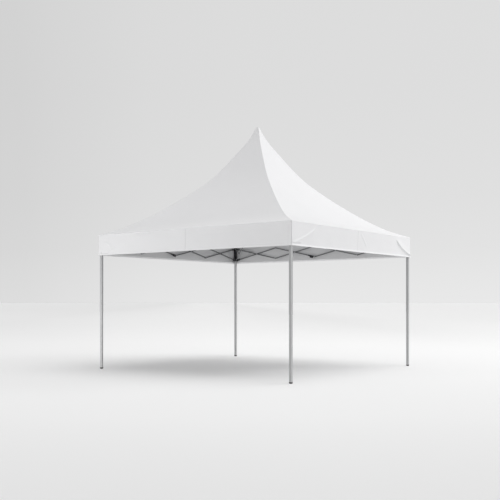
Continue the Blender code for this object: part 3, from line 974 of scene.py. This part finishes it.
class TENT_OT_stage(bpy.types.Operator):
    """Makes the floor, the backdrop and the lamps"""

    bl_idname = "tent.stage"
    bl_label = "Stage"

    def execute(self, context):
        stage = context.scene.tent_stage
        make_floor(stage)
        make_world(stage)
        make_sun("top_lamp", (0.15, -0.30, 1.0), strength=stage.top, angle=56.0)
        make_area("key_lamp", (8.0, -9.0, 9.0), target=(0.0, 0.0, 2.5), power=stage.key, size=(5.0, 5.0))
        fill = make_area(
            "fill_lamp", (-6.5, 3.5, 0.35), target=(-2.0, 0.5, 2.3), power=stage.fill, size=(2.5, 0.5)
        )
        spare(fill, bpy.data.objects["floor"])
        context.scene.view_settings.view_transform = "Standard"
        return {"FINISHED"}


def level_ramp(add, factor, stops):
    """A grey ramp through stops of position and level, read at the factor."""
    ramp = add("ShaderNodeValToRGB", {0: factor})
    elements = ramp.color_ramp.elements
    while len(elements) < len(stops):
        elements.new(0.5)
    for element, (position, value) in zip(elements, stops):
        element.position = position
        element.color = (value, value, value, 1.0)
    return ramp.outputs[0]


def distance_along(add, place, direction):
    inputs = {0: place, 1: direction}
    return add("ShaderNodeVectorMath", inputs, operation="DOT_PRODUCT").outputs["Value"]


def make_floor(stage):
    """A wide floor with painted light: brightest in a band behind the tent, dimmer towards the lens, and a
    painted glow that only the camera sees.
    """
    bm = bmesh.new()
    bmesh.ops.create_circle(bm, cap_ends=True, segments=96, radius=400.0)
    mesh = to_mesh("floor", bm)
    material, shader, add, link = new_material("floor")
    place = object_place(add)
    ahead, right = view_directions(stage)
    depth = plus(add, distance_along(add, place, ahead), stage.depth)
    depth = maths(add, "DIVIDE", depth, FLOOR_REACH, clamp=True)
    across = plus(add, distance_along(add, place, right), FLOOR_WIDTH / 2)
    across = maths(add, "DIVIDE", across, FLOOR_WIDTH, clamp=True)
    sides = mix(add, across, level_ramp(add, depth, FLOOR_LEFT), level_ramp(add, depth, FLOOR_RIGHT))
    tone = mix(add, 1.0, sides, level_ramp(add, across, FLOOR_ACROSS), "MULTIPLY")
    link(tone, shader.inputs["Base Color"])
    link(tone, shader.inputs["Emission Color"])
    # Painted glow, seen by the camera alone
    seen = add("ShaderNodeLightPath").outputs["Is Camera Ray"]
    link(times(add, seen, FLOOR_GLOW), shader.inputs["Emission Strength"])
    shader.inputs["Roughness"].default_value = 0.9
    shader.inputs["Specular IOR Level"].default_value = 0.1
    mesh.materials.append(material)
    add_object("floor", mesh)


def make_world(stage):
    """Even light all round, and a pale backdrop for the camera and for reflections, with painted light that
    darkens it upwards and towards the left.
    """
    world = bpy.data.worlds.new("studio")
    bpy.context.scene.world = world
    world.use_nodes = True
    nodes, links = world.node_tree.nodes, world.node_tree.links
    nodes.clear()
    add = node_adder(nodes, links)
    path = add("ShaderNodeLightPath").outputs
    bent = maths(add, "MAXIMUM", path["Is Glossy Ray"], path["Is Transmission Ray"])
    seen = maths(add, "MAXIMUM", path["Is Camera Ray"], bent)
    place = add("ShaderNodeTexCoord").outputs["Generated"]
    height = add("ShaderNodeSeparateXYZ", {0: place}).outputs[2]
    _, right = view_directions(stage)
    across = times(add, distance_along(add, place, right), BACKDROP_SPAN)
    across = maths(add, "ADD", across, 0.5, clamp=True)
    # Painted light: the backdrop darkens upwards and towards the left
    upwards = level_ramp(add, height, BACKDROP_HEIGHT)
    sideways = level_ramp(add, across, BACKDROP_ACROSS)
    light = add("ShaderNodeBackground", {0: (1.0, 1.0, 1.0, 1.0), 1: stage.world})
    backdrop = add("ShaderNodeBackground", {0: mix(add, 1.0, upwards, sideways, "MULTIPLY")})
    both = add("ShaderNodeMixShader", {0: seen, 1: light.outputs[0], 2: backdrop.outputs[0]})
    add("ShaderNodeOutputWorld", {0: both.outputs[0]})


def aimed(direction):
    """The turn that makes a lamp shine from a direction."""
    return Vector(direction).to_track_quat("Z", "Y").to_euler()


def make_area(name, place, target, power, size):
    data = bpy.data.lights.new(name, "AREA")
    data.shape = "RECTANGLE"
    data.energy = power
    data.size, data.size_y = size
    lamp = add_object(name, data)
    lamp.location = place
    lamp.rotation_euler = aimed(Vector(place) - Vector(target))
    lamp.visible_camera = False
    return lamp


def make_sun(name, direction, strength, angle):
    data = bpy.data.lights.new(name, "SUN")
    data.energy = strength
    data.angle = radians(angle)
    add_object(name, data).rotation_euler = aimed(direction)


def spare(lamp, obj):
    """Keeps a lamp's light off an object."""
    linking = lamp.light_linking
    if not linking.receiver_collection:
        linking.receiver_collection = bpy.data.collections.new(lamp.name + "_lit")
    linking.receiver_collection.objects.link(obj)
    for entry in linking.receiver_collection.collection_objects:
        entry.light_linking.link_state = "EXCLUDE"


class TENT_OT_canopy(bpy.types.Operator):
    """Makes the cloth: gores that ride on the hub's body, and the cap over the mast"""

    bl_idname = "tent.canopy"
    bl_label = "Canopy"

    def execute(self, context):
        rows = cloth_rows()
        for index in range(GORES_PER_SIDE * len(SIDES)):
            make_gore(f"canopy_panel_{index + 1:02d}", *column_places(index), rows)
        make_cap(rows)
        return {"FINISHED"}


def make_gore(name, places, centre, rows):
    """A gore from the cap's rim to the hem, which rides on the hub's body."""
    mesh, area, width, length = cloth_mesh(name, places, rows, RIM, len(rows[0]), centre)
    gore = add_piece(name, mesh, cloth_material(), "hub_and_roof")
    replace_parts(gore, "canopy")
    middle = cloth_points(np.array([centre]), rows)[0]
    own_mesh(gore)


def make_cap(rows):
    """The cap over the mast head."""
    places = np.linspace(0.0, len(SIDES), CAP_COLUMNS + 1)
    mesh, area, _, _ = cloth_mesh("canopy_peak", places, rows, 0, RIM + 1, len(SIDES) / 2, weld=True)
    cap = add_piece("canopy_peak", mesh, cloth_material(), None)
    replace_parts(cap, "canopy")
    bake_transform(cap)


def arm_places():
    """Every arm and strut: name, its two pins in the upright plane that it lies in, its layer, and turn."""
    places = []
    for index, side in enumerate(SIDES):
        for pair in range(PAIRS):
            left = END_PIN + pair * PAIR_SPAN
            right = left + PAIR_SPAN
            falls = ((left, UPPER_PIN), (right, LOWER_PIN))
            rises = ((left, LOWER_PIN), (right, UPPER_PIN))
            for label, ends, layer in (("outer", falls, -1), ("inner", rises, 1)):
                name = f"{side}_scissor_{pair + 1}_{label}"
                places.append((name, ends, -LEG_AXIS, layer, index * pi / 2))
    for index, corner in enumerate(CORNERS):
        turn = radians(225) + index * pi / 2
        knee = (KNEE.x, KNEE.y)
        for label, ends, layer in (
            ("hub_strut", ((HUB_PIN, UPPER_PIN), knee), 1),
            ("roof_strut", (knee, (CORNER_PIN, LOWER_PIN)), -1),
            ("brace", ((CROSS.x, CROSS.y), (CORNER_PIN, UPPER_PIN)), 1),
        ):
            places.append((f"{label}_{corner}", ends, 0.0, layer, turn))
    return places


class TENT_OT_arms(bpy.types.Operator):
    """Makes the truss arms and struts as rounded tubes with plugs in their ends"""

    bl_idname = "tent.arms"
    bl_label = "Arms and struts"

    def execute(self, context):
        size = sizes()
        along_x = Matrix.Rotation(pi / 2, 4, "Y")
        for name, ends, plane, layer, turn in arm_places():
            (x0, z0), (x1, z1) = ends
            half = hypot(x1 - x0, z1 - z0) / 2
            middle = Vector(((x0 + x1) / 2, plane + layer * LAYER, (z0 + z1) / 2))
            tilt = -atan2(z1 - z0, x1 - x0)
            place = Matrix.Rotation(turn, 4, "Z") @ Matrix.Translation(middle)
            place = place @ Matrix.Rotation(tilt, 4, "Y")
            reach = half + ARM_END
            tube = hollow_bar(
                size.arm_depth, size.arm_thickness, PLUG - reach, reach - PLUG,
                corner=size.tube_corner, wall=size.arm_wall,
            )
            tube = moved(tube, place @ along_x)
            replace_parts(new_piece(name + "_tube", tube, arm_material(), name), name)
            plugs = bmesh.new()
            for way in (-1, 1):
                join(plugs, end_plug(size, way * reach, way))
            new_piece(name + "_end_plugs", moved(plugs, place), plastic_material(), name)
            if name.endswith("_scissor_3_inner"):
                make_tie(size, name, place, -half)
        return {"FINISHED"}


def make_tie(size, name, place, pin):
    """A webbing wrap that ties the cloth to the truss beside a lower pin, with its end folded up."""
    depth, thickness = size.arm_depth + 0.0036, size.arm_thickness + 0.0028
    wrap = hollow_bar(
        depth, thickness, pin + 0.024, pin + 0.150, corner=size.tube_corner + 0.001, wall=0.0012
    )
    wrap = moved(wrap, Matrix.Rotation(pi / 2, 4, "Y"))
    below, above = -size.arm_depth / 2 - 0.020, size.arm_depth / 2 + 0.003
    for outwards, slip in ((0.0, 0.0), (0.0065, 0.006), (0.013, -0.004)):
        low = (pin + 0.022 + slip, 0.0072 + outwards, below + slip)
        high = (pin + 0.098 + slip, 0.0132 + outwards, above)
        join(wrap, rounded_block(low, high, radius=0.0028))
    new_piece(name + "_tie", moved(wrap, place), webbing_material(), name)


def end_plug(size, end, way):
    """A rounded cap on a tube's end, with a stub inside the tube."""
    half_y, half_z = size.arm_thickness / 2, size.arm_depth / 2
    near, far = sorted((end, end - way * PLUG))
    bm = rounded_block((near, -half_y, -half_z), (far, half_y, half_z), radius=0.0012)
    near, far = sorted((end - way * PLUG / 2, end - way * 0.008))
    half_y, half_z = half_y - 0.0016, half_z - 0.0016
    stub = rounded_block((near, -half_y, -half_z), (far, half_y, half_z), radius=0.001, segments=1)
    join(bm, stub)
    return bm


def bolt_shape(reach):
    """A domed bolt along +Z with a shank, and a nut on a washer at the other end."""
    bm = turned((
        (0.0, reach + 0.0038), (0.0030, reach + 0.0036), (0.0056, reach + 0.0026),
        (0.0070, reach + 0.0009), (0.0071, reach + 0.0001), (0.0040, reach + 0.0001),
        (0.0040, -reach - 0.0056), (0.0032, -reach - 0.0064), (0.0, -reach - 0.0064),
    ))
    near, far = -reach - 0.0001, -reach - 0.0011
    join(bm, turned(((0.0045, near), (0.0085, near), (0.0085, far), (0.0045, far)), ring=True))
    nut = bmesh.new()
    bmesh.ops.create_cone(
        nut, cap_ends=True, segments=6, radius1=0.0065, radius2=0.0070, depth=0.0042
    )
    join(bm, moved(nut, Matrix.Translation((0, 0, -reach - 0.0033))))
    return bm


def spacer_shape(gap):
    """A plastic washer that fills a gap between the two layers of the truss."""
    edge = gap * 0.6
    return turned((
        (0.0045, gap), (0.0085, gap), (0.0095, edge), (0.0095, -edge), (0.0085, -gap), (0.0045, -gap),
    ), ring=True)


def pin_places():
    """Every pivot: body that carries the bolt, point, direction of its head, centre offset, both layers."""
    pins = []
    for index, side in enumerate(SIDES):
        turn = Matrix.Rotation(index * pi / 2, 3, "Z")
        out = turn @ Vector((0, -1, 0))
        left, right = CORNERS[index], CORNERS[(index + 1) % len(CORNERS)]

        def at(node, z):
            return turn @ Vector((END_PIN + node * PAIR_SPAN, -LEG_AXIS, z))

        pins.append((f"leg_outer_{left}", at(0, UPPER_PIN), out, 1, False))
        pins.append((f"leg_outer_{right}", at(PAIRS, UPPER_PIN), out, -1, False))
        pins.append((f"slider_{left}", at(0, LOWER_PIN), out, -1, False))
        pins.append((f"slider_{right}", at(PAIRS, LOWER_PIN), out, 1, False))
        for node in range(1, PAIRS):
            pins.append((f"{side}_scissor_{node + 1}_outer", at(node, UPPER_PIN), out, 0, True))
            pins.append((f"{side}_scissor_{node}_outer", at(node, LOWER_PIN), out, 0, True))
        for pair in range(PAIRS):
            middle = at(pair + 0.5, (UPPER_PIN + LOWER_PIN) / 2)
            pins.append((f"{side}_scissor_{pair + 1}_outer", middle, out, 0, True))
    for index, corner in enumerate(CORNERS):
        turn = Matrix.Rotation(radians(225) + index * pi / 2, 3, "Z")
        out = turn @ Vector((0, -1, 0))

        def at(radius, z):
            return turn @ Vector((radius, 0, z))

        pins.append(("hub_and_roof", at(HUB_PIN, UPPER_PIN), out, -1, False))
        pins.append((f"roof_strut_{corner}", at(KNEE.x, KNEE.y), out, 0, True))
        pins.append((f"roof_strut_{corner}", at(CROSS.x, CROSS.y), out, 0, True))
        pins.append((f"leg_outer_{corner}", at(CORNER_PIN, UPPER_PIN), out, -1, False))
        pins.append((f"slider_{corner}", at(CORNER_PIN, LOWER_PIN), out, 1, False))
    return pins


class TENT_OT_bolts(bpy.types.Operator):
    """Puts a domed bolt, a nut and washers at every pivot of the truss"""

    bl_idname = "tent.bolts"
    bl_label = "Bolts"

    def execute(self, context):
        bolts, spacers = {}, {}
        half_arm = sizes().arm_thickness / 2
        for body, point, out, offset, both in pin_places():
            aim = out.to_track_quat("Z", "X").to_matrix().to_4x4()
            place = Matrix.Translation(point + out * offset * LAYER) @ aim
            reach = LAYER + half_arm if both else CLEVIS_GAP + CHEEK
            join(bolts.setdefault(body, bmesh.new()), moved(bolt_shape(reach), place))
            if both:
                spacer = moved(spacer_shape(LAYER - half_arm - 0.0001), place)
                join(spacers.setdefault(body, bmesh.new()), spacer)
        for body, bm in bolts.items():
            new_piece(body + "_bolts", bm, bolt_material(), body)
        for body, bm in spacers.items():
            new_piece(body + "_spacers", bm, plastic_material(), body)
        return {"FINISHED"}


def clevis_cheeks(bm, pin, z, slot, angle, root):
    """Adds two cheeks with round noses beside a slot, along a direction away from the axis."""
    for way in (-1, 1):
        near, far = sorted((slot + way * CLEVIS_GAP, slot + way * (CLEVIS_GAP + CHEEK)))
        tip = pin + ARM_END
        cheek = block((root, near, z - CHEEK_HALF), (tip, far, z + CHEEK_HALF))
        nose = [
            edge for edge in cheek.edges
            if all(vert.co.x > tip - 0.001 for vert in edge.verts)
            and abs(edge.verts[0].co.y - edge.verts[1].co.y) > 0.001
        ]
        bevel(cheek, nose, NOSE, segments=6)
        join(bm, moved(cheek, Matrix.Rotation(angle, 4, "Z")))


class TENT_OT_legs(bpy.types.Operator):
    """Makes the legs with their brackets, sliders and feet"""

    bl_idname = "tent.legs"
    bl_label = "Legs"

    def execute(self, context):
        fill = bpy.data.objects["fill_lamp"]
        for index, corner in enumerate(CORNERS):
            place = Matrix.Rotation(index * pi / 2, 4, "Z") @ Matrix.Translation((-LEG_AXIS, -LEG_AXIS, 0))
            for name, body, bm, material, slot, covers in leg_pieces(sizes()):
                body = f"{body}_{corner}"
                piece = new_piece(f"{name}_{corner}", moved(bm, place), material, body)
                if covers:
                    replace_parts(piece, body)
                # The low lamp may light the tubes of the back left leg alone
                if name.endswith("_tube") and corner != "back_left":
                    spare(fill, piece)
        return {"FINISHED"}


def leg_pieces(size):
    """A leg's pieces round its axis: name, body, shape, material, slot, and whether it covers the solid."""
    outer, inner, sleeve = size.leg_width, size.inner_leg_width, size.sleeve
    foot, collar = size.foot / 2, size.foot / 2 - 0.0005
    outer_tube = hollow_bar(outer, outer, LEG_LOW, LEG_TOP - 0.008, corner=0.004, wall=size.leg_wall)
    inner_tube = hollow_bar(inner, inner, 0.018, INNER_TOP, corner=0.0035, wall=size.leg_wall)
    # Painted shade: a black sleeve fills the gap between the slider and the bracket, where the leg lies in
    # shade
    low, high = SLIDER_TOP + 0.002, UPPER_PIN - 0.036
    shade_sleeve = hollow_bar(sleeve, sleeve, low, high, corner=0.005, wall=0.0014)
    foot_cap = rounded_block((-foot, -foot, 0.012), (foot, foot, 0.0225), radius=0.0022)
    foot_collar = rounded_block((-collar, -collar, 0.022), (collar, collar, 0.0285), radius=0.002)
    black = plastic_material()
    return (
        ("leg_outer_tube", "leg_outer", outer_tube, leg_material(), "leg_metal", True),
        ("corner_bracket", "leg_outer", corner_bracket(size.bracket), black, "leg_metal", True),
        ("shade_sleeve", "leg_outer", shade_sleeve, black, "plastic", False),
        ("leg_inner_tube", "leg_inner", inner_tube, leg_material(), "leg_metal", True),
        ("foot_cap", "leg_inner", foot_cap, black, "plastic", True),
        ("foot_collar", "leg_inner", foot_collar, nylon_material(), "plastic", False),
        ("foot_pad", "leg_inner", foot_pad(), rubber_material(), "leg_metal", True),
        ("slider_body", "slider", slider_shape(size.slider), black, "plastic", True),
        ("slider_pull_pin", "slider", pull_pin(size.slider / 2), black, "plastic", False),
        ("leg_button", "leg_outer", leg_button(outer / 2), bolt_material(), "arm_metal", False),
    )


def corner_bracket(width):
    """A moulded cap over the leg's top with three clevises: along both sides and to the hub."""
    half = width / 2
    bm = hollow_bar(width, width, UPPER_PIN - 0.035, LEG_TOP - 0.004, corner=0.006, wall=0.0039)
    join(bm, rounded_block((-half, -half, LEG_TOP - 0.0055), (half, half, LEG_TOP), radius=0.0026))
    for pin, angle in CLEVISES:
        clevis_cheeks(bm, pin, UPPER_PIN, -LAYER, angle, root=half - 0.0015)
    return bm


def slider_shape(width):
    """A moulded ring round the leg with three clevises."""
    bm = hollow_bar(width, width, SLIDER_LOW, SLIDER_TOP, corner=0.008, wall=0.0095)
    for pin, angle in CLEVISES:
        clevis_cheeks(bm, pin, LOWER_PIN, LAYER, angle, root=width / 2 - 0.0045)
    return bm


def pull_pin(face):
    """A stem with a grooved knob that frees the slider, beside its clevis."""
    knob = turned((
        (0.0, 0.0215), (0.0040, 0.0212), (0.0064, 0.0198), (0.0070, 0.0180), (0.0060, 0.0165),
        (0.0070, 0.0150), (0.0060, 0.0135), (0.0068, 0.0120), (0.0060, 0.0100), (0.0032, 0.0092),
        (0.0032, 0.0012), (0.0058, 0.0010), (0.0058, -0.0006), (0.0, -0.0006),
    ))
    return moved(knob, pointing_along_x(face, -0.018, LOWER_PIN))


def leg_button(face):
    """A sprung button through the outer leg near its lower end, in a raised eyelet."""
    button = turned((
        (0.0, 0.0030), (0.0022, 0.0027), (0.0038, 0.0016),
        (0.0042, 0.0004), (0.0042, -0.0012), (0.0, -0.0012),
    ))
    eyelet = ((0.0046, 0.0009), (0.0062, 0.0010), (0.0070, 0.0002), (0.0070, -0.0004), (0.0046, -0.0004))
    join(button, turned(eyelet, ring=True))
    return moved(button, pointing_along_x(face, 0.0, LEG_LOW + 0.035))


def foot_pad():
    """A rubber pad with rounded corners that narrows towards the ground."""
    bm = block((-0.019, -0.019, 0.0), (0.019, 0.019, 0.0125))
    upright = [edge for edge in bm.edges if abs(edge.verts[0].co.z - edge.verts[1].co.z) > 0.001]
    bevel(bm, upright, radius=0.004, segments=3)
    for vert in bm.verts:
        if vert.co.z < 0.001:
            vert.co.xy *= 0.93
    return bm


class TENT_OT_hub(bpy.types.Operator):
    """Makes the hub, the mast and the spring under the peak"""

    bl_idname = "tent.hub"
    bl_label = "Hub and mast"

    def execute(self, context):
        bore, rim = 0.0195, 0.030
        bm = turned((
            (bore, HUB_TOP - 0.001), (bore + 0.001, HUB_TOP),
            (rim - 0.0015, HUB_TOP), (rim, HUB_TOP - 0.0015),
            (rim, HUB_LOW + 0.0015), (rim - 0.0015, HUB_LOW),
            (bore + 0.001, HUB_LOW), (bore, HUB_LOW + 0.001),
        ), steps=48, ring=True)
        for index in range(len(CORNERS)):
            clevis_cheeks(bm, HUB_PIN, UPPER_PIN, LAYER, pi / 4 + index * pi / 2, root=0.0245)
        hub = new_piece("hub_body", bm, plastic_material(), "hub_and_roof")
        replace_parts(hub, "hub")
        outer = sizes().mast
        inner = outer - 0.002
        tube = turned((
            (inner, MAST_TOP), (outer, MAST_TOP), (outer, MAST_LOW + 0.001),
            (outer - 0.001, MAST_LOW), (inner, MAST_LOW),
        ), steps=48, ring=True)
        mast = new_piece("mast_tube", tube, arm_material(), "mast")
        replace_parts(mast, "mast")
        mast_spring(outer)
        mast_collar(outer + 0.0001, HUB_TOP + SPRING)
        head = frame["nodes"]["mast_head"].data
        head.materials.clear()
        head.materials.append(plastic_material())
        return {"FINISHED"}


def mast_spring(mast_radius):
    """A coil spring between the hub and a collar on the mast, which presses the peak up."""
    steps = TURNS * 20
    coil = bmesh.new()
    bmesh.ops.create_circle(coil, cap_ends=True, segments=8, radius=WIRE / 2)
    start = Matrix.Translation((mast_radius + 0.0055, 0, HUB_TOP + WIRE / 2))
    coil = moved(coil, start @ Matrix.Rotation(pi / 2, 4, "X"))
    bmesh.ops.spin(
        coil, geom=coil.faces[:], cent=(0, 0, 0), axis=(0, 0, 1), dvec=(0, 0, (SPRING - WIRE) / steps),
        angle=2 * pi * TURNS, steps=steps, use_merge=False, use_duplicate=False,
    )
    bmesh.ops.recalc_face_normals(coil, faces=coil.faces)
    spring = new_piece("mast_spring", coil, bolt_material(), "hub_and_roof")
    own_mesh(spring)


def mast_collar(bore, low):
    """The collar on the mast that the spring presses against."""
    collar = turned((
        (bore, low), (0.0275, low), (0.0285, low + 0.001), (0.0285, low + 0.006),
        (0.0260, low + 0.010), (bore, low + 0.011),
    ), steps=40, ring=True)
    new_piece("mast_collar", collar, plastic_material(), "mast")


class TENT_PT_panel(bpy.types.Panel):
    """Lists the sizes, the colours and the stage, with a button for each operator"""

    bl_idname = "TENT_PT_panel"
    bl_label = "Party tent"
    bl_space_type = "VIEW_3D"
    bl_region_type = "UI"
    bl_category = "Party tent"

    def draw(self, context):
        layout = self.layout
        for group in (context.scene.tent_sizes, context.scene.tent_finish, context.scene.tent_stage):
            box = layout.box()
            for key in group.__annotations__:
                box.prop(group, key)
        for operator in OPERATORS:
            layout.operator(operator.bl_idname)


OPERATORS = (
    TENT_OT_camera,
    TENT_OT_stage,
    TENT_OT_canopy,
    TENT_OT_arms,
    TENT_OT_bolts,
    TENT_OT_legs,
    TENT_OT_hub,
)
CLASSES = (TentSizes, TentFinish, TentStage, *OPERATORS, TENT_PT_panel)


def register():
    for cls in CLASSES:
        bpy.utils.register_class(cls)
    bpy.types.Scene.tent_sizes = PointerProperty(type=TentSizes)
    bpy.types.Scene.tent_finish = PointerProperty(type=TentFinish)
    bpy.types.Scene.tent_stage = PointerProperty(type=TentStage)


def unregister():
    del bpy.types.Scene.tent_stage
    del bpy.types.Scene.tent_finish
    del bpy.types.Scene.tent_sizes
    for cls in reversed(CLASSES):
        bpy.utils.unregister_class(cls)


def main():
    register()
    for operator in OPERATORS:
        group, name = operator.bl_idname.split(".")
        getattr(getattr(bpy.ops, group), name)()


if __name__ == "__main__":
    main()
